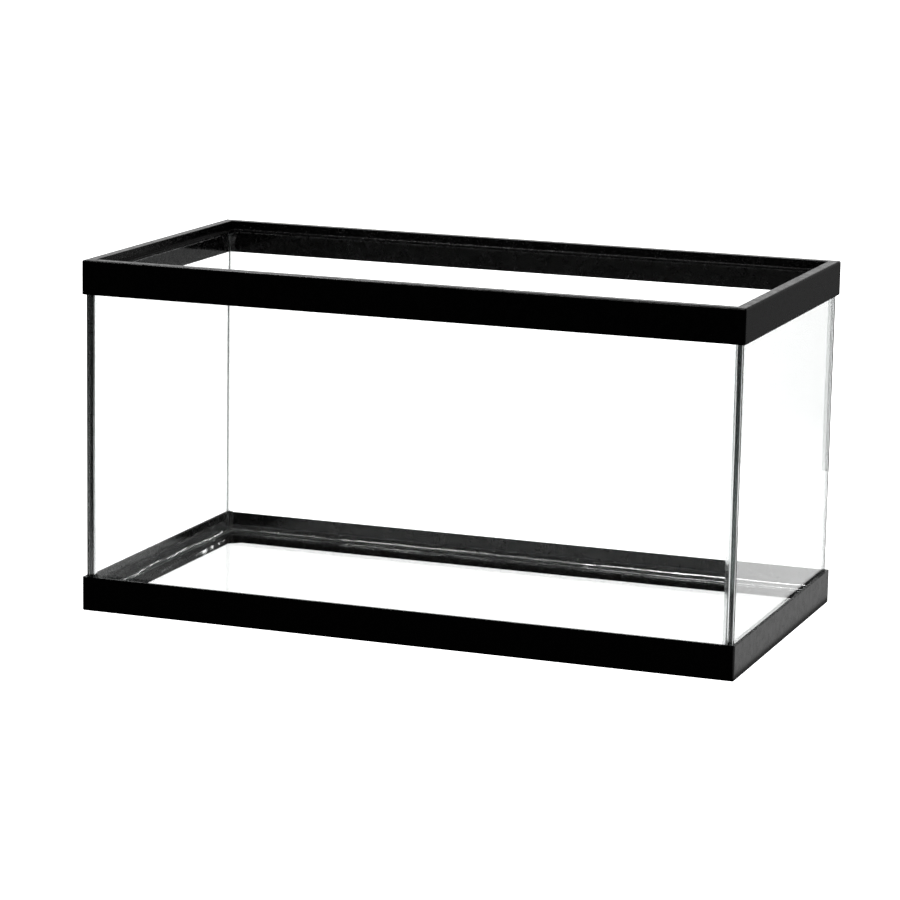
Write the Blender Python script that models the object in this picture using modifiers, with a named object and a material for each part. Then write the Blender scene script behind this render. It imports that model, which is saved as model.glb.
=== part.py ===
"""Rimmed glass aquarium tank, an assembly of two moulded frames, five panes and their silicone.

Metres, +Z up. The tank stands on z = 0, centred on x and y, with its length along x
and its front towards -y.
"""
import math

import bmesh
import bpy
from mathutils import Matrix, Vector

# Overall size, over the frames
LENGTH = 0.616
DEPTH = 0.3175
HEIGHT = 0.322

# Panes and joints
PANE = 0.0048                # glass thickness, 3/16 in
PANE_SEAM = 0.0005           # ground chamfer along each pane edge
OVERHANG = 0.0032            # from a frame's outer face to the glass
JOINT = 0.0012               # silicone between a pane's edge and its neighbour's face
GAP = 0.0003                 # clearance that touching solids keep
FILLET = 0.0045              # leg of a silicone fillet
FILLET_SAG = 0.0008          # how far a fillet's face curves in towards its corner
FILLET_STEPS = 6
BOND = 0.0010                # height of a bonding bead

# What both frames share
SKIRT = OVERHANG - GAP       # wall outside the glass
SHELF_REACH = 0.015          # from the outer face to the inner edge of a ledge or shelf
WALL = 0.0025                # ledge, shelf and inner leg thickness
EDGE = 0.0005                # small rounding of moulded edges
ROUND_STEPS = 4

# Top frame
TOP_TALL = 0.0312            # height of the skirt
TOP_ROOF = 0.0026            # thickness over the glass edge
TOP_ROUND = 0.0018           # radius of the outer edges
RIM_REACH = 0.0102           # from the outer face to the rim's inner face
LEDGE_DROP = 0.008           # from the rim's top down to the lid ledge

# Bottom frame
BASE_TALL = 0.0315
BASE_ROUND = 0.0016
SHELF_TOP = 0.0084
CORNER_WEB = 0.010           # cut across each inner corner of the shelf
PAD = 0.028                  # solid corner pad, along each side
POCKETS_LONG = 10            # underside pockets in a long rail
POCKETS_SHORT = 5
RIB = 0.002                  # web left between two pockets

# Levels and faces worked out from the sizes above
GLASS_BOTTOM = SHELF_TOP + BOND + 2 * GAP
GLASS_TOP = HEIGHT - TOP_ROOF - BOND - 2 * GAP
FLOOR_TOP = GLASS_BOTTOM + PANE
LEDGE_TOP = HEIGHT - LEDGE_DROP
LEDGE_UNDER = LEDGE_TOP - WALL
GLASS_X = LENGTH / 2 - OVERHANG          # outer face of a side pane
GLASS_Y = DEPTH / 2 - OVERHANG           # outer face of the front or back pane
INSIDE_X = GLASS_X - PANE
INSIDE_Y = GLASS_Y - PANE
OVERCUT = 0.001                          # how far a cutter runs past what it cuts

BLACK = (0.012, 0.012, 0.013, 1.0)
GLASS_TINT = (0.80, 0.88, 0.86, 1.0)
SILICONE_TINT = (0.82, 0.84, 0.84, 1.0)


def clear_scene():
    for item in list(bpy.data.objects):
        bpy.data.objects.remove(item, do_unlink=True)


def new_collection(name):
    collection = bpy.data.collections.new(name)
    bpy.context.scene.collection.children.link(collection)
    return collection


def material(name, colour, roughness, transmission=0.0, ior=1.45):
    """A plain Principled material of one colour."""
    made = bpy.data.materials.new(name)
    made.use_nodes = True
    made.diffuse_color = colour
    shader = made.node_tree.nodes["Principled BSDF"]
    shader.inputs["Base Color"].default_value = colour
    shader.inputs["Roughness"].default_value = roughness
    shader.inputs["Metallic"].default_value = 0.0
    shader.inputs["Transmission Weight"].default_value = transmission
    shader.inputs["IOR"].default_value = ior
    return made


def add_mesh(name, bm, centre, collection):
    mesh = bpy.data.meshes.new(name)
    bm.to_mesh(mesh)
    bm.free()
    made = bpy.data.objects.new(name, mesh)
    made.location = centre
    collection.objects.link(made)
    return made


def block(name, low, high, collection, radius=0.0, bevelled=lambda edge: False):
    """A box from its low corner to its high corner, with the chosen edges rounded."""
    low = Vector(low)
    high = Vector(high)
    bm = bmesh.new()
    bmesh.ops.create_cube(bm, size=1.0)
    bmesh.ops.scale(bm, vec=high - low, verts=bm.verts)
    chosen = [edge for edge in bm.edges if bevelled(edge)]
    if chosen:
        bmesh.ops.bevel(bm, geom=chosen, offset=radius, segments=ROUND_STEPS, profile=0.5, affect="EDGES")
    return add_mesh(name, bm, (low + high) / 2, collection)


def upright(edge):
    return abs(edge.verts[0].co.z - edge.verts[1].co.z) > EDGE


def upright_or_top(edge):
    return upright(edge) or edge.verts[0].co.z > 0


def upright_or_bottom(edge):
    return upright(edge) or edge.verts[0].co.z < 0


def ring_span(reach, z_low, z_high):
    """Corners of the box that lies `reach` in from the frames' outer faces."""
    x = LENGTH / 2 - reach
    y = DEPTH / 2 - reach
    return (-x, -y, z_low), (x, y, z_high)


def as_cutter(item):
    item.hide_render = True
    item.display_type = "WIRE"
    return item


def boolean(item, other, operation):
    modifier = item.modifiers.new(operation.title() + "_" + other.name, "BOOLEAN")
    modifier.operation = operation
    modifier.solver = "EXACT"
    modifier.object = other


def round_edges(item, width, segments, angle=50.0):
    modifier = item.modifiers.new("Edges", "BEVEL")
    modifier.width = width
    modifier.segments = segments
    modifier.limit_method = "ANGLE"
    modifier.angle_limit = math.radians(angle)


def chamfer_uprights(item, width):
    """Cut the four upright edges of a box across by `width`."""
    bm = bmesh.new()
    bm.from_mesh(item.data)
    edges = [edge for edge in bm.edges if upright(edge)]
    bmesh.ops.bevel(bm, geom=edges, offset=width, segments=1, affect="EDGES")
    bm.to_mesh(item.data)
    bm.free()


def make_top_frame(parts, cutters, plastic):
    """Outer skirt, flat rim, channel for the glass and a ledge for a lid, all one ring."""
    low, high = ring_span(0, HEIGHT - TOP_TALL, HEIGHT)
    frame = block("top_frame", low, high, parts, TOP_ROUND, upright_or_top)
    mouth = as_cutter(block("cut_mouth", *ring_span(SHELF_REACH, low[2] - OVERCUT, HEIGHT), cutters))
    recess = as_cutter(block("cut_lid_recess", *ring_span(RIM_REACH, LEDGE_TOP, HEIGHT + OVERCUT), cutters))
    channel = as_cutter(
        block("cut_top_channel", *ring_span(SKIRT, low[2] - OVERCUT, HEIGHT - TOP_ROOF), cutters))
    ledge = as_cutter(
        block("keep_ledge", *ring_span(OVERHANG + PANE + GAP, LEDGE_UNDER, HEIGHT), cutters))
    boolean(channel, ledge, "DIFFERENCE")
    boolean(frame, mouth, "DIFFERENCE")
    boolean(frame, recess, "DIFFERENCE")
    round_edges(frame, EDGE, 2)
    boolean(frame, channel, "DIFFERENCE")
    frame.data.materials.append(plastic)
    return frame


def pocket_spans():
    """Low and high corners of the pockets between the skirt and the inner leg."""
    spans = []
    inner = SHELF_REACH - WALL
    for along, count in ((LENGTH, POCKETS_LONG), (DEPTH, POCKETS_SHORT)):
        start = -along / 2 + PAD
        pitch = (along - 2 * PAD) / count
        for index in range(count):
            begin = start + index * pitch + RIB / 2
            end = start + (index + 1) * pitch - RIB / 2
            for side in (-1, 1):
                across = DEPTH if along == LENGTH else LENGTH
                edges = sorted((side * (across / 2 - SKIRT), side * (across / 2 - inner)))
                if along == LENGTH:
                    spans.append(((begin, edges[0]), (end, edges[1])))
                else:
                    spans.append(((edges[0], begin), (edges[1], end)))
    return spans


def make_pockets(cutters):
    """One cutter holding all the underside pockets as separate boxes."""
    depth = SHELF_TOP - WALL + OVERCUT
    bm = bmesh.new()
    for low, high in pocket_spans():
        size = Vector((high[0] - low[0], high[1] - low[1], depth))
        centre = Vector(((low[0] + high[0]) / 2, (low[1] + high[1]) / 2, depth / 2 - OVERCUT))
        bmesh.ops.create_cube(bm, size=1.0, matrix=Matrix.LocRotScale(centre, None, size))
    return as_cutter(add_mesh("cut_pockets", bm, (0, 0, 0), cutters))


def make_bottom_frame(parts, cutters, plastic):
    """Outer skirt, shelf under the glass, inner leg, corner pads and ribs, all one ring."""
    frame = block("bottom_frame", *ring_span(0, 0, BASE_TALL), parts, BASE_ROUND, upright_or_bottom)
    well = as_cutter(block("cut_glass_well", *ring_span(SKIRT, SHELF_TOP, BASE_TALL + OVERCUT), cutters))
    floor = as_cutter(block("cut_floor", *ring_span(SHELF_REACH, -OVERCUT, SHELF_TOP + OVERCUT), cutters))
    chamfer_uprights(floor, CORNER_WEB)
    boolean(frame, well, "DIFFERENCE")
    boolean(frame, floor, "DIFFERENCE")
    round_edges(frame, EDGE, 2, angle=40.0)
    boolean(frame, make_pockets(cutters), "DIFFERENCE")
    frame.data.materials.append(plastic)
    return frame


def make_pane(name, low, high, parts, glass):
    pane = block(name, low, high, parts)
    round_edges(pane, PANE_SEAM, 1)
    pane.data.materials.append(glass)
    return pane


def make_panes(parts, glass):
    """Front and back run the full length; the sides and the bottom sit between them."""
    side_y = INSIDE_Y - JOINT
    floor_x = INSIDE_X - JOINT
    for name, side in (("front_glass", -1), ("back_glass", 1)):
        y_low, y_high = sorted((side * GLASS_Y, side * INSIDE_Y))
        make_pane(name, (-GLASS_X, y_low, GLASS_BOTTOM), (GLASS_X, y_high, GLASS_TOP), parts, glass)
    for name, side in (("left_glass", -1), ("right_glass", 1)):
        x_low, x_high = sorted((side * GLASS_X, side * INSIDE_X))
        make_pane(name, (x_low, -side_y, GLASS_BOTTOM), (x_high, side_y, GLASS_TOP), parts, glass)
    make_pane("bottom_glass", (-floor_x, -side_y, GLASS_BOTTOM), (floor_x, side_y, FLOOR_TOP), parts, glass)


def fillet_outline():
    """Section of a fillet: first coordinate off the wall's face, second off the pane's face.

    A short tongue reaches in between the pane's edge and the wall, to meet the strip there.
    """
    foot = GAP + FILLET
    middle = (GAP + foot) / 2 - FILLET_SAG * math.sqrt(2)
    points = [(GAP, -2 * GAP), (JOINT - GAP, -2 * GAP), (JOINT - GAP, GAP)]
    for step in range(FILLET_STEPS + 1):
        t = step / FILLET_STEPS
        ends = ((1 - t) ** 2, 2 * t * (1 - t), t ** 2)
        points.append((ends[0] * foot + ends[1] * middle + ends[2] * GAP,
                       ends[0] * GAP + ends[1] * middle + ends[2] * foot))
    return points


def prism(name, outline, origin, off_wall, off_pane, length, collection):
    """Extrude a section along its own normal, half of `length` to each side of `origin`."""
    curve = bpy.data.curves.new(name, "CURVE")
    curve.dimensions = "2D"
    curve.fill_mode = "BOTH"
    curve.extrude = length / 2
    spline = curve.splines.new("POLY")
    spline.points.add(len(outline) - 1)
    for point, (u, v) in zip(spline.points, outline):
        point.co = (u, v, 0.0, 1.0)
    spline.use_cyclic_u = True
    x_axis = Vector(off_wall)
    y_axis = Vector(off_pane)
    turn = Matrix((x_axis, y_axis, x_axis.cross(y_axis))).transposed().to_4x4()
    drawn = bpy.data.objects.new(name + "_outline", curve)
    drawn.matrix_world = Matrix.Translation(origin) @ turn
    collection.objects.link(drawn)
    bpy.context.view_layer.update()
    mesh = bpy.data.meshes.new_from_object(drawn.evaluated_get(bpy.context.evaluated_depsgraph_get()))
    bm = bmesh.new()
    bm.from_mesh(mesh)
    bmesh.ops.remove_doubles(bm, verts=bm.verts, dist=GAP / 100)
    bm.to_mesh(mesh)
    bm.free()
    made = bpy.data.objects.new(name, mesh)
    made.matrix_world = drawn.matrix_world
    collection.objects.link(made)
    bpy.data.objects.remove(drawn, do_unlink=True)
    return made


def make_seam(name, corner, off_wall, off_pane, fillet_length, strip, parts, cutters, silicone):
    """A fillet in the corner between two panes, joined to the strip between edge and face."""
    seam = prism(name, fillet_outline(), corner, off_wall, off_pane, fillet_length, parts)
    filler = as_cutter(block("join_" + name, *strip, cutters))
    boolean(seam, filler, "UNION")
    seam.data.materials.clear()
    seam.data.materials.append(silicone)
    return seam


def box_between(points):
    """Low and high corners of the box that two opposite corners span."""
    low = tuple(min(values) for values in zip(*points))
    high = tuple(max(values) for values in zip(*points))
    return low, high


def make_corner_seams(parts, cutters, silicone):
    """Four upright seams, with the strip between a side pane's edge and the long pane's face."""
    z_low = FLOOR_TOP + FILLET + 2 * GAP
    z_high = LEDGE_UNDER - GAP
    middle = (z_low + z_high) / 2
    for front, y_side in (("front", -1), ("back", 1)):
        for side, x_side in (("left", -1), ("right", 1)):
            corner = Vector((x_side * INSIDE_X, y_side * INSIDE_Y, middle))
            strip = box_between((
                (x_side * (GLASS_X - GAP), y_side * (INSIDE_Y - GAP), GLASS_BOTTOM + GAP),
                (x_side * (INSIDE_X + GAP), y_side * (INSIDE_Y - JOINT + GAP), GLASS_TOP - GAP)))
            make_seam("corner_seam_" + front + "_" + side, corner, (0, -y_side, 0), (-x_side, 0, 0),
                      z_high - z_low, strip, parts, cutters, silicone)


def make_bottom_seams(parts, cutters, silicone):
    """Seams round the bottom pane: the long ones run through, the short ones stop at them."""
    z_low = GLASS_BOTTOM + GAP
    z_high = FLOOR_TOP - GAP
    half_long = INSIDE_X - 3 * GAP
    half_short = INSIDE_Y - FILLET - 2 * GAP
    for name, side in (("bottom_seam_front", -1), ("bottom_seam_back", 1)):
        strip = box_between((
            (-half_long, side * (INSIDE_Y - GAP), z_low),
            (half_long, side * (INSIDE_Y - JOINT + GAP), z_high)))
        make_seam(name, Vector((0, side * INSIDE_Y, FLOOR_TOP)), (0, -side, 0), (0, 0, 1),
                  2 * half_long, strip, parts, cutters, silicone)
    for name, side in (("bottom_seam_left", -1), ("bottom_seam_right", 1)):
        strip = box_between((
            (side * (INSIDE_X - GAP), -half_short, z_low),
            (side * (INSIDE_X - JOINT + GAP), half_short, z_high)))
        make_seam(name, Vector((side * INSIDE_X, 0, FLOOR_TOP)), (-side, 0, 0), (0, 0, 1),
                  2 * half_short, strip, parts, cutters, silicone)


def make_bonds(parts, silicone):
    """Beads under and over the panes' edges, inside the frames."""
    levels = (("top_bond_", GLASS_TOP + GAP), ("bottom_bond_", SHELF_TOP + GAP))
    end_y = INSIDE_Y - JOINT
    for prefix, z in levels:
        for side_name, side in (("front", -1), ("back", 1)):
            low, high = box_between((
                (-GLASS_X + GAP, side * (GLASS_Y - GAP), z),
                (GLASS_X - GAP, side * (INSIDE_Y + GAP), z + BOND)))
            bead = block(prefix + side_name, low, high, parts)
            round_edges(bead, GAP, 1)
            bead.data.materials.append(silicone)
        for side_name, side in (("left", -1), ("right", 1)):
            low, high = box_between((
                (side * (GLASS_X - GAP), -end_y, z),
                (side * (INSIDE_X + GAP), end_y, z + BOND)))
            bead = block(prefix + side_name, low, high, parts)
            round_edges(bead, GAP, 1)
            bead.data.materials.append(silicone)


def build():
    clear_scene()
    parts = new_collection("glass_aquarium_tank")
    cutters = new_collection("cutters")
    plastic = material("black_plastic", BLACK, 0.32)
    glass = material("clear_glass", GLASS_TINT, 0.0, transmission=1.0, ior=1.52)
    silicone = material("clear_silicone", SILICONE_TINT, 0.25, transmission=0.8, ior=1.41)
    make_top_frame(parts, cutters, plastic)
    make_bottom_frame(parts, cutters, plastic)
    make_panes(parts, glass)
    make_corner_seams(parts, cutters, silicone)
    make_bottom_seams(parts, cutters, silicone)
    make_bonds(parts, silicone)


build()
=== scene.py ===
import math

import bmesh
import bpy
from mathutils import Matrix, Vector, noise


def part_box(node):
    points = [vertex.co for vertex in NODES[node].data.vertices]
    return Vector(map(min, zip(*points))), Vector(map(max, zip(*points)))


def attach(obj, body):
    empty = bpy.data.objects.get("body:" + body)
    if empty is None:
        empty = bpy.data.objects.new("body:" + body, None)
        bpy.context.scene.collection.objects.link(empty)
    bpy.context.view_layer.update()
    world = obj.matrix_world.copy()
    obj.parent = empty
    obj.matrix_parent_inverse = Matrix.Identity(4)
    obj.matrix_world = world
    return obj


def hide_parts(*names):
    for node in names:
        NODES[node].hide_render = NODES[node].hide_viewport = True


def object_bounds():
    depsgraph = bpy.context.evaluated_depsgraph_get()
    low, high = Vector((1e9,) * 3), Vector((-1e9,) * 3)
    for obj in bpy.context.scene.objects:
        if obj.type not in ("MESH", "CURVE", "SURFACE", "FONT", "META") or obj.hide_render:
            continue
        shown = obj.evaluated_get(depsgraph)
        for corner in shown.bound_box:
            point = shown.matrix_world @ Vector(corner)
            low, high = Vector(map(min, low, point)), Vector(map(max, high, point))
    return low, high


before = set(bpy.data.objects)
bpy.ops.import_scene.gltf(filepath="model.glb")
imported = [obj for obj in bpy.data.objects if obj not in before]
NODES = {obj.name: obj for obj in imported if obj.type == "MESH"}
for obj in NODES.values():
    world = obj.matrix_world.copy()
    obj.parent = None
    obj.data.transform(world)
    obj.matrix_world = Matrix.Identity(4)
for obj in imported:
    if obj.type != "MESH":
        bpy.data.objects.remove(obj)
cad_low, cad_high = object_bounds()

# The rimmed glass aquarium tank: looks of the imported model, in metres, +Z up, front towards -y.
# The bottom frame and the panes keep their CAD shape and get materials here, and the top frame is
# remade with rounded edges. The silicone is remade as tooled beads and strips that wet the glass,
# because a gap of air beside it would shine.

ALONG_X = Vector((1, 0, 0))
ALONG_Y = Vector((0, 1, 0))
UP = Vector((0, 0, 1))

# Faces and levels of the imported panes
FRONT_LOW, FRONT_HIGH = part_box("front_glass")
SIDE_LOW, SIDE_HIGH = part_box("right_glass")
INSIDE_X = SIDE_LOW.x
INSIDE_Y = -FRONT_HIGH.y
PANE = SIDE_HIGH.x - SIDE_LOW.x
JOINT = INSIDE_Y - SIDE_HIGH.y
GLASS_BOTTOM = FRONT_LOW.z
GLASS_TOP = FRONT_HIGH.z
FLOOR_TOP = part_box("bottom_glass")[1].z
LEDGE_DEPTH = 0.0105                   # from the rim's top to the underside of the lid ledge
LEDGE_UNDER = cad_high.z - LEDGE_DEPTH
GAP = 0.0003                           # clearance that neighbouring solids keep in the CAD
ARRIS = 0.0005                         # ground chamfer on every pane edge

# Top frame
EDGE_ROUND = 0.0005          # rounding of the moulded edges
ROUND_STEPS = 3
SHARP = math.radians(60)     # convex edges that turn by more than this are rounded
FLAT = math.radians(0.5)     # faces that turn by less than this are one face
WELD = 0.000001              # corners this close are the same corner

# Silicone beads
LEG = 0.0045                 # how far a fillet reaches over each pane
SAG = 0.0008                 # how far its face curves in
WET = 0.00005                # how far a bead sinks into the glass, so that no air is left between
BARE = 0.00012               # what is left of a fillet where a bead is only the strip in the joint
ARC_STEPS = 9
STEP = 0.0016                # spacing of the sections along a bead
SMOOTH = math.radians(50)    # silicone faces that turn by less than this are shaded as one curve
RIDGE = 0.00006              # usual height of the ridge that the tool leaves beside a fillet
RIDGE_END = 2.2              # how far the ridge runs past the fillet, in units of its height
RIDGE_OUTLINE = ((2.0, 0.55), (1.5, 0.92), (0.9, 0.95), (0.4, 0.55))   # in the same units

# Hidden strips
STRIP_STEP = 0.008
STRIP_HALF = 0.46            # mean half width, as a share of the CAD strip's width
STRIP_UNEVEN = 0.03          # how much it varies, as the same share
# Up one side, in shares of half the width and half the height
STRIP_OUTLINE = ((0.9, -1.0), (1.0, -0.4), (0.92, 0.0), (1.0, 0.4), (0.9, 1.0))

# Camera, measured from the middle of the tank's base
CAMERA_PLACE = Vector((1.0997, -2.9989, 0.7781))
CAMERA_AZIMUTH = math.radians(20.3465)
CAMERA_ELEVATION = math.radians(11.1809)
CAMERA_ROLL = math.radians(1.0377)
CAMERA_LENS = 142.38
CAMERA_SENSOR = 36.0

# Studio
WHITE = 2.00                 # backdrop and floor, seen directly or through the glass
GLOW = 1.35                  # the lit floor close to the tank, as the glass mirrors it
FLOOR_CLEAR = 1.6            # radius at which the floor starts to fade into the backdrop
FLOOR_FADE = 3.6             # radius at which it is gone
FLOOR_DROP = 0.0002          # how far the floor lies under the tank

# Glow of the floor on the right: its reach beside, before and behind the tank, and its brightness
GLOW_START = 0.006
GLOW_END = 0.5
GLOW_BEFORE = 0.15
GLOW_BEHIND = 0.6
GLOW_RISE = 0.0005
GLOWS = (("panes", 1.05), ("frames", 0.40))

# Overhead strips and a lamp behind the tank: name, size, place and brightness
CATCH_LIGHTS = (
    ("strip", (0.60, 0.20), (-0.32, -0.35, 2.1), 280.0),
    ("strip_end", (0.60, 0.20), (-0.95, -0.35, 2.1), 45.0),
    ("lamp", (0.14, 0.14), (0.30, 2.30, 1.08), 110.0),
)
RIM_LIGHT = ("rim_strip", (1.2, 0.25), (-0.60, -0.35, 2.1), 30.0)


def add_node(tree, kind, inputs=None, **settings):
    """A shader node with its settings, and its inputs either set or linked."""
    made = tree.nodes.new(kind)
    for key, value in settings.items():
        setattr(made, key, value)
    for key, value in (inputs or {}).items():
        if isinstance(value, bpy.types.NodeSocket):
            tree.links.new(value, made.inputs[key])
        else:
            made.inputs[key].default_value = value
    return made


def maths(tree, operation, first, second=0.0, third=0.0):
    made = add_node(tree, "ShaderNodeMath", {0: first, 1: second, 2: third}, operation=operation)
    return made.outputs[0]


def spread(tree, value, low, high, to_low=0.0, to_high=1.0):
    """Value mapped smoothly from low..high to to_low..to_high, held at both ends."""
    made = add_node(tree, "ShaderNodeMapRange",
                    {"Value": value, "From Min": low, "From Max": high, "To Min": to_low, "To Max": to_high},
                    interpolation_type="SMOOTHSTEP", clamp=True)
    return made.outputs["Result"]


def speckle(tree, where, scale, detail=2.0, rough=0.5):
    made = add_node(tree, "ShaderNodeTexNoise",
                    {"Vector": where, "Scale": scale, "Detail": detail, "Roughness": rough})
    return made.outputs["Fac"]


def new_material(name):
    """An empty material: its tree, its Principled shader and object coordinates in metres."""
    made = bpy.data.materials.new(name)
    made.use_nodes = True
    tree = made.node_tree
    shader = tree.nodes["Principled BSDF"]
    where = add_node(tree, "ShaderNodeTexCoord").outputs["Object"]
    return made, tree, shader, where


# Materials

def black_plastic():
    """Injection-moulded black styrene: fine grain, soft mottling of the gloss, a little dust."""
    made, tree, shader, where = new_material("black_plastic")
    grain = speckle(tree, where, 1500.0, 3.0, 0.6)
    mottle = speckle(tree, where, 130.0, 4.0, 0.65)
    waves = speckle(tree, where, 28.0, 2.0)
    specks = speckle(tree, where, 900.0, 1.0)
    dust = spread(tree, specks, 0.80, 0.86)
    colour = add_node(tree, "ShaderNodeMix", {"Factor": dust, "A": (0.0032, 0.0032, 0.0034, 1.0),
                                              "B": (0.012, 0.012, 0.0117, 1.0)}, data_type="RGBA")
    tree.links.new(colour.outputs["Result"], shader.inputs["Base Color"])
    rough = spread(tree, mottle, 0.30, 0.70, 0.18, 0.30)
    tree.links.new(rough, shader.inputs["Roughness"])
    height = maths(tree, "MULTIPLY_ADD", mottle, 0.35, maths(tree, "MULTIPLY", grain, 0.12))
    height = maths(tree, "MULTIPLY_ADD", waves, 0.3, height)
    bump = add_node(tree, "ShaderNodeBump", {"Height": height, "Strength": 0.32, "Distance": 0.00022})
    tree.links.new(bump.outputs["Normal"], shader.inputs["Normal"])
    shader.inputs["IOR"].default_value = 1.50
    return made


def clear_glass(name, low, high, thin_axis, outward, bare_axes):
    """Float glass with ground edges: clear faces, frosted bare arrises, a faint tint in depth.

    The arrises on the outward side, at the ends along bare_axes, are bare; silicone wets the others clear.
    """
    made, tree, shader, where = new_material(name)
    split = add_node(tree, "ShaderNodeSeparateXYZ", {"Vector": where})
    centre = (low + high) / 2
    half = (high - low) / 2
    near = []
    for axis in range(3):
        off = maths(tree, "SUBTRACT", split.outputs[axis], centre[axis])
        off = maths(tree, "MULTIPLY", off, outward) if axis == thin_axis else maths(tree, "ABSOLUTE", off)
        near.append(maths(tree, "GREATER_THAN", off, half[axis] - ARRIS * 1.05))
    ends = maths(tree, "MAXIMUM", near[bare_axes[0]], near[bare_axes[-1]])
    edge = maths(tree, "MULTIPLY", near[thin_axis], ends)
    grind = speckle(tree, where, 900.0, 2.0)
    frost = maths(tree, "MULTIPLY", edge, spread(tree, grind, 0.3, 0.7, 0.30, 0.55))
    tree.links.new(frost, shader.inputs["Roughness"])
    colour = add_node(tree, "ShaderNodeMix", {"Factor": edge, "A": (0.99, 0.995, 0.993, 1.0),
                                              "B": (0.60, 0.62, 0.61, 1.0)}, data_type="RGBA")
    tree.links.new(colour.outputs["Result"], shader.inputs["Base Color"])
    shader.inputs["Transmission Weight"].default_value = 1.0
    shader.inputs["IOR"].default_value = 1.52
    depth = add_node(tree, "ShaderNodeVolumeAbsorption", {"Color": (0.24, 0.30, 0.28, 1.0), "Density": 7.0})
    tree.links.new(depth.outputs["Volume"], tree.nodes["Material Output"].inputs["Volume"])
    return made


def clear_silicone():
    """Clear aquarium sealant: glossy skin, rippled by the tool, faintly milky in depth."""
    made, tree, shader, where = new_material("clear_silicone")
    ripple = speckle(tree, where, 260.0, 2.0)
    fine = speckle(tree, where, 1400.0, 2.0)
    shader.inputs["Base Color"].default_value = (0.86, 0.87, 0.87, 1.0)
    shader.inputs["Transmission Weight"].default_value = 0.93
    shader.inputs["IOR"].default_value = 1.41
    tree.links.new(spread(tree, ripple, 0.3, 0.7, 0.08, 0.14), shader.inputs["Roughness"])
    height = maths(tree, "MULTIPLY_ADD", ripple, 1.0, maths(tree, "MULTIPLY", fine, 0.15))
    bump = add_node(tree, "ShaderNodeBump", {"Height": height, "Strength": 0.14, "Distance": 0.0003})
    tree.links.new(bump.outputs["Normal"], shader.inputs["Normal"])
    return made


def collection_named(name):
    if name not in bpy.data.collections:
        bpy.context.scene.collection.children.link(bpy.data.collections.new(name))
    return bpy.data.collections[name]


def set_material(item, material):
    item.data.materials.clear()
    item.data.materials.append(material)


# Top frame

def make_soft_frame(node, material):
    """The moulded frame with its sharp outer edges rounded, as a mould leaves them."""
    source = NODES[node]
    bm = bmesh.new()
    bm.from_mesh(source.data)
    bm.transform(source.matrix_world)
    bmesh.ops.remove_doubles(bm, verts=bm.verts, dist=WELD)
    bmesh.ops.dissolve_limit(bm, angle_limit=FLAT, verts=bm.verts, edges=bm.edges)
    sharp = []
    for edge in bm.edges:
        if len(edge.link_faces) == 2 and edge.is_convex and edge.calc_face_angle() > SHARP:
            sharp.append(edge)
    bmesh.ops.bevel(bm, geom=sharp, offset=EDGE_ROUND, segments=ROUND_STEPS, profile=0.5,
                    affect="EDGES", clamp_overlap=True)
    mesh = bpy.data.meshes.new(node + "_soft")
    bm.to_mesh(mesh)
    bm.free()
    made = bpy.data.objects.new(node + "_soft", mesh)
    bpy.context.scene.collection.objects.link(made)
    set_material(made, material)
    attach(made, "root")
    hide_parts(node)
    collection_named("frames").objects.link(made)


# Silicone

def wobble(place, seed, pitch):
    """Smooth noise of about -1 to 1 that repeats nowhere, one wave in about `pitch` metres."""
    return 2.0 * noise.noise(Vector((place / pitch, seed * 7.31, seed * 3.17)))


def skin(name, points):
    """A closed solid through rings of points, with a flat cap at each end."""
    bm = bmesh.new()
    rings = []
    for ring in points:
        rings.append([bm.verts.new(point) for point in ring])
    size = len(rings[0])
    for low_ring, high_ring in zip(rings, rings[1:]):
        for index in range(size):
            following = (index + 1) % size
            bm.faces.new((low_ring[index], low_ring[following], high_ring[following], high_ring[index]))
    caps = [bm.faces.new(rings[0]), bm.faces.new(rings[-1])]
    bmesh.ops.triangulate(bm, faces=caps)
    bmesh.ops.recalc_face_normals(bm, faces=bm.faces)
    if bm.calc_volume(signed=True) < 0:
        bmesh.ops.reverse_faces(bm, faces=bm.faces)
    mesh = bpy.data.meshes.new(name)
    bm.to_mesh(mesh)
    bm.free()
    mesh.shade_smooth()
    mesh.set_sharp_from_angle(angle=SMOOTH)
    made = bpy.data.objects.new(name, mesh)
    bpy.context.scene.collection.objects.link(made)
    return made


def bead_section(leg_a, leg_b, sag, lip, flush):
    """Section of a bead: a off the face of the pane that ends at the joint, b off the other pane.

    lip is the height of the ridge that the tool leaves along the end of a. A flush bead also fills the
    groove between the two arrises on the outside.
    """
    # The point that pulls the curved face inwards
    middle_a = leg_a * 0.34 - sag * 0.5
    middle_b = leg_b * 0.34 - sag * 0.5
    points = [(leg_a + lip * RIDGE_END, -WET)]
    for along, rise in RIDGE_OUTLINE:
        points.append((leg_a + lip * along, lip * rise))
    for step in range(ARC_STEPS + 1):
        t = step / ARC_STEPS
        from_a, between, from_b = (1 - t) ** 2, 2 * t * (1 - t), t ** 2
        points.append((from_a * leg_a + between * middle_a, between * middle_b + from_b * leg_b))
    points.append((-WET, leg_b))
    points.append((-WET, JOINT + ARRIS))
    points.append((-ARRIS, JOINT + WET))
    points.append((ARRIS - PANE, JOINT + WET))
    if flush:
        points.append((WET - PANE, JOINT + ARRIS))
        points.append((WET - PANE, -ARRIS))
    points.append((ARRIS - PANE, -WET))
    return points


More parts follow.
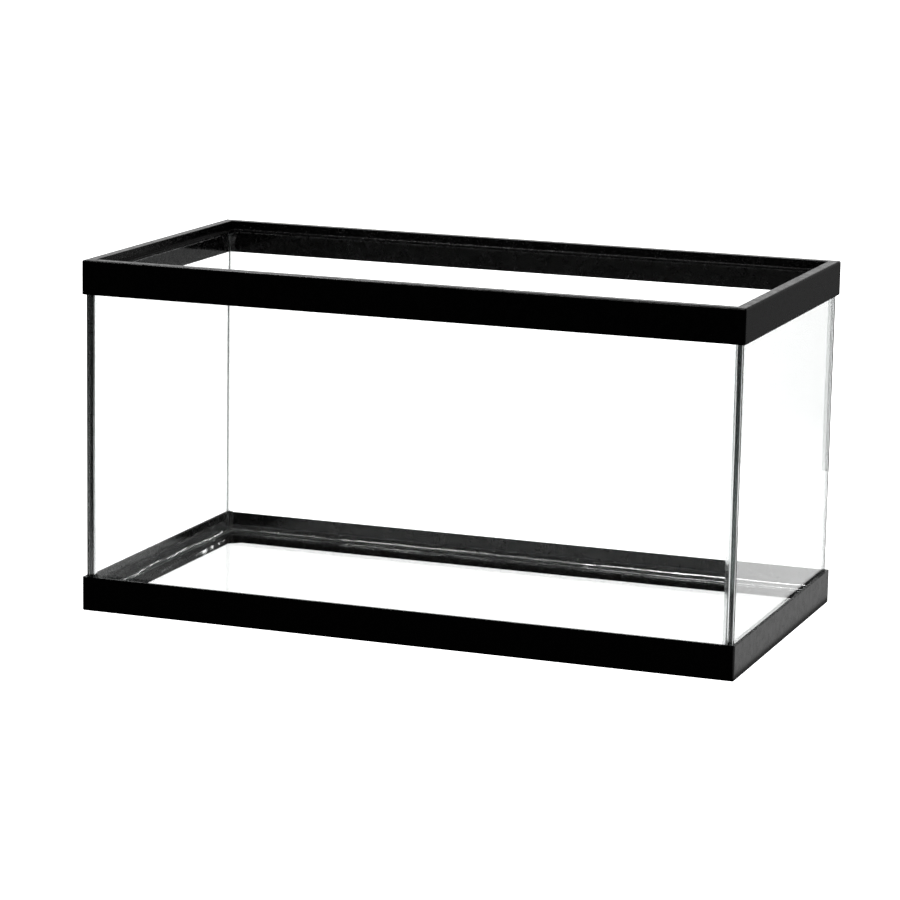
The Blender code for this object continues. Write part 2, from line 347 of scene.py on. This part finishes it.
def make_bead(name, corner, off_face, off_wall, run, start, end, fillet, seed, uneven, blobs=(),
              lip=RIDGE, size_a=1.0, size_b=1.0, flush=False):
    """Sweep the section along `run`; the fillet is there between fillet[0] and fillet[1].

    size_a and size_b are its mean reaches in units of LEG, uneven is how much they vary, as a share,
    and lip is the usual height of its ridge.
    blobs are lumps of extra silicone: place along the run, half length, extra reach. A flush bead also
    fills the outside groove.
    """
    count = max(2, round((end - start) / STEP))
    rings = []
    for index in range(count + 1):
        place = start + (end - start) * index / count
        shown = min(1.0, max(0.0, (place - fillet[0]) / LEG + 0.3), max(0.0, (fillet[1] - place) / LEG + 0.3))
        if not fillet[0] <= place <= fillet[1]:
            shown = 0.0
        slow_a, fast_a = wobble(place, seed, 0.045), wobble(place, seed + 1, 0.011)
        slow_b, fast_b = wobble(place, seed + 2, 0.052), wobble(place, seed + 3, 0.013)
        reach_a = LEG * size_a * (1 + uneven * (slow_a + 0.4 * fast_a))
        reach_b = LEG * size_b * (1 + uneven * (slow_b + 0.4 * fast_b))
        sag = SAG * (1 + 3.0 * uneven * wobble(place, seed + 4, 0.03))
        for middle, half, extra in blobs:
            swell = math.exp(-((place - middle) / half) ** 2)
            reach_a += extra * swell
            reach_b += extra * swell * 0.7
            sag -= 0.5 * extra * swell
        leg_a = max(BARE, reach_a * shown)
        leg_b = max(BARE, reach_b * shown)
        ring = []
        ridge = lip * (0.35 + 0.65 * shown * max(0.0, min(2.0, 1.0 + 1.6 * wobble(place, seed + 6, 0.014))))
        for a, b in bead_section(leg_a, leg_b, sag * shown, ridge, flush):
            ring.append(corner + off_face * a + off_wall * b + run * place)
        rings.append(ring)
    return skin(name, rings)


def stand_in(made, node, material):
    """Shows the silicone piece in place of the CAD node."""
    set_material(made, material)
    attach(made, "root")
    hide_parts(node)


def finish_bead(made, node, material):
    """A bead is a stand-in that the catch lights reach."""
    stand_in(made, node, material)
    collection_named("beads").objects.link(made)


def make_corner_beads(material):
    """Four upright beads, where a side pane's edge meets the long pane."""
    blobs = {
        ("back", "left"): ((LEDGE_UNDER - 0.004, 0.004, 0.0022), (FLOOR_TOP + 0.012, 0.006, 0.0010)),
        ("back", "right"): ((LEDGE_UNDER - 0.005, 0.004, 0.0016),),
    }
    seed = 11
    for front, y_side in (("front", -1), ("back", 1)):
        for side, x_side in (("left", -1), ("right", 1)):
            node = "corner_seam_" + front + "_" + side
            corner = Vector((x_side * INSIDE_X, y_side * INSIDE_Y, 0.0))
            made = make_bead(node + "_bead", corner, Vector((-x_side, 0, 0)), Vector((0, -y_side, 0)),
                             UP, GLASS_BOTTOM + ARRIS, GLASS_TOP - ARRIS,
                             (FLOOR_TOP, LEDGE_UNDER - GAP), seed, uneven=0.03,
                             blobs=blobs.get((front, side), ()),
                             size_b=0.45 if front == "front" else 1.0, flush=True)
            finish_bead(made, node, material)
            seed += 10


def make_bottom_beads(material):
    """Four beads round the bottom pane: the long ones run through, the short ones end in them."""
    seed = 61
    for side_name, side in (("front", -1), ("back", 1)):
        node = "bottom_seam_" + side_name
        corner = Vector((0, side * INSIDE_Y, FLOOR_TOP))
        made = make_bead(node + "_bead", corner, UP, Vector((0, -side, 0)), ALONG_X,
                         -INSIDE_X, INSIDE_X, (-INSIDE_X, INSIDE_X), seed, uneven=0.10, size_a=1.3)
        finish_bead(made, node, material)
        seed += 10
    for side_name, side in (("left", -1), ("right", 1)):
        node = "bottom_seam_" + side_name
        corner = Vector((side * INSIDE_X, 0, FLOOR_TOP))
        reach = INSIDE_Y - JOINT
        made = make_bead(node + "_bead", corner, UP, Vector((-side, 0, 0)), ALONG_Y,
                         -reach, reach, (-reach, reach), seed, uneven=0.16,
                         lip=0.0002, size_a=2.2, size_b=1.6)
        finish_bead(made, node, material)
        seed += 10


def make_strip(node, seed, material):
    """A hidden strip between a pane's end and the frame, of uneven width, touching both."""
    low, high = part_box(node)
    middle = (low + high) / 2
    reach = high - low
    length = max(reach.x, reach.y)
    width = min(reach.x, reach.y)
    half_height = reach.z / 2 + GAP + WET
    along = ALONG_X if reach.x > reach.y else ALONG_Y
    across = ALONG_Y if reach.x > reach.y else ALONG_X
    count = round(length / STRIP_STEP)
    rings = []
    for index in range(count + 1):
        place = (index / count - 0.5) * length
        half = width * (STRIP_HALF + STRIP_UNEVEN * wobble(place, seed, 0.02))
        ring = []
        for side, outline in ((1, STRIP_OUTLINE), (-1, STRIP_OUTLINE[::-1])):
            for wide, tall in outline:
                outwards = across * side * half * wide
                ring.append(middle + along * place + outwards + UP * half_height * tall)
        rings.append(ring)
    stand_in(skin(node + "_strip", rings), node, material)


def make_bonds(material):
    """The hidden strips under and over the panes: they fill the gaps between glass and frame."""
    seed = 101
    for level in ("bottom_bond_", "top_bond_"):
        for side in ("front", "back", "left", "right"):
            make_strip(level + side, seed, material)
            seed += 3


# Studio

def straight_look(tree):
    """1 for a ray from the camera, also through glass, and 0 once it has been mirrored or scattered."""
    path = add_node(tree, "ShaderNodeLightPath")
    bounces = maths(tree, "ADD", path.outputs["Glossy Depth"], path.outputs["Diffuse Depth"])
    through = maths(tree, "MAXIMUM", path.outputs["Is Camera Ray"], path.outputs["Is Transmission Ray"])
    return maths(tree, "MULTIPLY", through, maths(tree, "LESS_THAN", bounces, 0.5))


def make_floor():
    """A white floor that fades into the backdrop far from the tank, and isn't mirrored in the gloss."""
    bm = bmesh.new()
    bmesh.ops.create_circle(bm, cap_ends=True, segments=96, radius=FLOOR_FADE * 1.2)
    mesh = bpy.data.meshes.new("floor")
    bm.to_mesh(mesh)
    bm.free()
    floor = bpy.data.objects.new("floor", mesh)
    floor.location.z = cad_low.z - FLOOR_DROP
    bpy.context.scene.collection.objects.link(floor)
    made, tree, shader, where = new_material("floor_white")
    tree.nodes.remove(shader)
    away = add_node(tree, "ShaderNodeVectorMath", {0: where}, operation="LENGTH").outputs["Value"]
    fade = spread(tree, away, FLOOR_CLEAR, FLOOR_FADE)
    behind = add_node(tree, "ShaderNodeNewGeometry").outputs["Backfacing"]
    gone = maths(tree, "MAXIMUM", fade, behind)
    split = add_node(tree, "ShaderNodeSeparateXYZ", {"Vector": where})
    beyond_x = maths(tree, "SUBTRACT", maths(tree, "ABSOLUTE", split.outputs["X"]), cad_high.x)
    beyond_y = maths(tree, "SUBTRACT", maths(tree, "ABSOLUTE", split.outputs["Y"]), cad_high.y)
    beyond = maths(tree, "MAXIMUM", beyond_x, beyond_y)
    # What the glass mirrors, painted into the floor's glow: a painted pool of light beside the tank that dims
    # far off, painted shade under the tank that is darkest along its frame, and a dim floor before it
    near = spread(tree, beyond, 0.35, 1.0, GLOW, 0.12)
    # painted shade of the tank on the floor: dim under it, darkest along its frame, brighter again a little
    # way out
    under = maths(tree, "ADD", spread(tree, beyond, -0.06, -0.008, 0.36, 0.08),
                  spread(tree, beyond, -0.005, 0.03, 0.0, 0.9))
    ahead = spread(tree, split.outputs["Y"], cad_low.y - 0.30, cad_low.y, 0.02, 1.0)
    mirrored = maths(tree, "MULTIPLY", maths(tree, "MULTIPLY", near, under), ahead)
    strength = add_node(tree, "ShaderNodeMix", {"Factor": straight_look(tree), "A": mirrored, "B": WHITE})
    lit = add_node(tree, "ShaderNodeEmission",
                   {"Color": (1, 1, 1, 1), "Strength": strength.outputs["Result"]})
    matt = add_node(tree, "ShaderNodeBsdfDiffuse", {"Color": (0.25, 0.25, 0.25, 1)})
    both = add_node(tree, "ShaderNodeAddShader", {0: lit.outputs[0], 1: matt.outputs[0]})
    open_air = add_node(tree, "ShaderNodeBsdfTransparent")
    mixed = add_node(tree, "ShaderNodeMixShader", {0: gone, 1: both.outputs[0], 2: open_air.outputs[0]})
    tree.links.new(mixed.outputs[0], tree.nodes["Material Output"].inputs["Surface"])
    floor.data.materials.append(made)
    made.cycles.emission_sampling = "NONE"
    floor.visible_glossy = False
    floor.visible_diffuse = False


def make_world():
    """White where it is seen directly; the gloss mirrors a dim wall behind the tank and a patch overhead."""
    world = bpy.data.worlds.new("studio")
    world.use_nodes = True
    tree = world.node_tree
    way = add_node(tree, "ShaderNodeTexCoord").outputs["Generated"]
    split = add_node(tree, "ShaderNodeSeparateXYZ", {"Vector": way})
    back = split.outputs["Y"]
    up = split.outputs["Z"]
    wall = spread(tree, back, -0.2, 0.9, 0.0, 0.70)
    wall = maths(tree, "MULTIPLY", wall, spread(tree, split.outputs["X"], -0.22, 0.15, 1.0, 0.1))
    wall = maths(tree, "MULTIPLY", wall, spread(tree, up, 0.20, 0.33, 1.0, 0.05))
    wall = maths(tree, "MULTIPLY", wall, spread(tree, up, -0.16, 0.0, 0.07, 1.0))
    wall = maths(tree, "ADD", wall, spread(tree, back, -0.3, 0.9, 0.008, 0.10))
    overhead = spread(tree, up, 0.86, 0.96, 0.0, 0.5)
    mirrored = maths(tree, "MAXIMUM", wall, overhead)
    strength = add_node(tree, "ShaderNodeMix", {"Factor": straight_look(tree), "A": mirrored, "B": WHITE})
    tree.links.new(strength.outputs["Result"], tree.nodes["Background"].inputs["Strength"])
    tree.nodes["Background"].inputs["Color"].default_value = (1, 1, 1, 1)
    world.cycles.sampling_method = "NONE"
    bpy.context.scene.world = world


def make_card(name, size, place, aim, brightness, receivers, blockers=None):
    """A lit rectangle that only the receivers mirror; the camera doesn't see it.

    With blockers, nothing else stands in its way, so it also reaches beads behind a pane.
    """
    light = bpy.data.lights.new(name, "AREA")
    light.shape = "RECTANGLE"
    light.size, light.size_y = size
    light.energy = brightness * math.pi * light.size * light.size_y
    made = bpy.data.objects.new(name, light)
    made.location = place
    made.rotation_mode = "QUATERNION"
    made.rotation_quaternion = (Vector(aim) - made.location).to_track_quat("-Z", "Y")
    made.visible_camera = False
    made.visible_diffuse = False
    made.light_linking.receiver_collection = collection_named(receivers)
    if blockers:
        made.light_linking.blocker_collection = collection_named(blockers)
    bpy.context.scene.collection.objects.link(made)
    return made


def make_lights():
    """The glow of the floor for glass and plastic, catch lights for the silicone, a strip for the frames."""
    low_x, high_x = cad_high.x + GLOW_START, cad_high.x + GLOW_END
    low_y, high_y = cad_low.y - GLOW_BEFORE, cad_high.y + GLOW_BEHIND
    glow_size = (high_x - low_x, high_y - low_y)
    glow_place = ((low_x + high_x) / 2, (low_y + high_y) / 2, cad_low.z + GLOW_RISE)
    above = (glow_place[0], glow_place[1], 1.0)
    for receivers, brightness in GLOWS:
        name = "floor_glow_on_" + receivers
        glow = make_card(name, glow_size, glow_place, above, brightness, receivers)
        glow.rotation_quaternion = (0, 1, 0, 0)
        glow.visible_transmission = False
    middle = (0, 0, cad_high.z / 2)
    for name, size, place, brightness in CATCH_LIGHTS:
        card = make_card(name, size, place, middle, brightness, "beads", "frames")
        card.visible_transmission = False
    name, size, place, brightness = RIM_LIGHT
    make_card(name, size, place, middle, brightness, "frames")


def make_camera():
    """Looks from the front right, a little above the rim, with a slight roll."""
    across = math.cos(CAMERA_ELEVATION)
    back = Vector((math.sin(CAMERA_AZIMUTH) * across, -math.cos(CAMERA_AZIMUTH) * across,
                   math.sin(CAMERA_ELEVATION)))
    right = UP.cross(back).normalized()
    up = back.cross(right)
    turned_right = right * math.cos(CAMERA_ROLL) + up * math.sin(CAMERA_ROLL)
    turned_up = up * math.cos(CAMERA_ROLL) - right * math.sin(CAMERA_ROLL)
    turn = Matrix((turned_right, turned_up, back)).transposed()
    data = bpy.data.cameras.new("camera")
    data.lens = CAMERA_LENS
    data.sensor_width = CAMERA_SENSOR
    data.clip_start = 0.05
    data.clip_end = 60.0
    camera = bpy.data.objects.new("camera", data)
    base = Vector(((cad_low.x + cad_high.x) / 2, (cad_low.y + cad_high.y) / 2, cad_low.z))
    camera.matrix_world = Matrix.Translation(base + CAMERA_PLACE) @ turn.to_4x4()
    bpy.context.scene.collection.objects.link(camera)
    bpy.context.scene.camera = camera


def set_picture():
    """Straight tones, and enough bounces for light that runs inside the panes."""
    scene = bpy.context.scene
    scene.view_settings.view_transform = "Standard"
    scene.cycles.max_bounces = 40
    scene.cycles.transmission_bounces = 40
    scene.cycles.glossy_bounces = 12
    scene.cycles.transparent_max_bounces = 16


def build():
    make_camera()
    make_world()
    make_floor()
    make_lights()
    set_picture()

    plastic = black_plastic()
    make_soft_frame("top_frame", plastic)
    set_material(NODES["bottom_frame"], plastic)
    collection_named("frames").objects.link(NODES["bottom_frame"])
    for node, thin_axis, outward, bare_axes in (("front_glass", 1, -1, (0, 2)), ("back_glass", 1, 1, (0, 2)),
                                                ("left_glass", 0, -1, (2,)), ("right_glass", 0, 1, (2,)),
                                                ("bottom_glass", 2, -1, (0, 1))):
        low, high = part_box(node)
        set_material(NODES[node], clear_glass(node + "_clear", low, high, thin_axis, outward, bare_axes))
        collection_named("panes").objects.link(NODES[node])
    silicone = clear_silicone()
    make_bonds(silicone)
    make_corner_beads(silicone)
    make_bottom_beads(silicone)


build()
